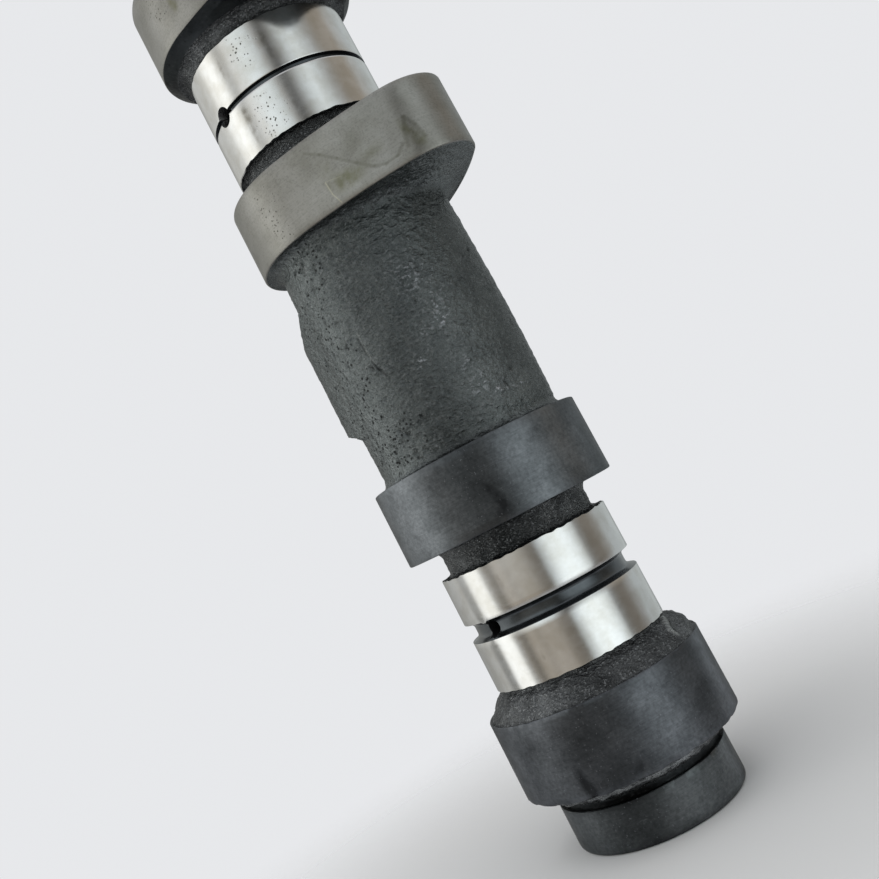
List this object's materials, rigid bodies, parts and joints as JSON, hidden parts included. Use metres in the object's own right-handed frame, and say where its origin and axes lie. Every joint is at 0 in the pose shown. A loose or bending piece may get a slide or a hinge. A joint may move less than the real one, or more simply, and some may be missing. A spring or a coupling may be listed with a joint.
{
  "type": "camshaft",
  "caption": "Cast-iron overhead camshaft with ground bearings and lobes, oil grooves with drilled feeds, rough cast necks and a drilled drive end.",
  "frame": {"origin": "centre of the nose end's flat face, on the shaft's axis", "axes": "+Z along the shaft's axis, from the nose end to the drive end; -Y faces the picture's camera, +X is the picture's right"},
  "size_m": [0.0414, 0.0544, 0.188],
  "materials": {
    "iron": "rough dark casting between satin ground lobes and bright ground bearings"
  },
  "bodies": {
    "root": {"camshaft": "iron"}
  },
  "joints": []
}
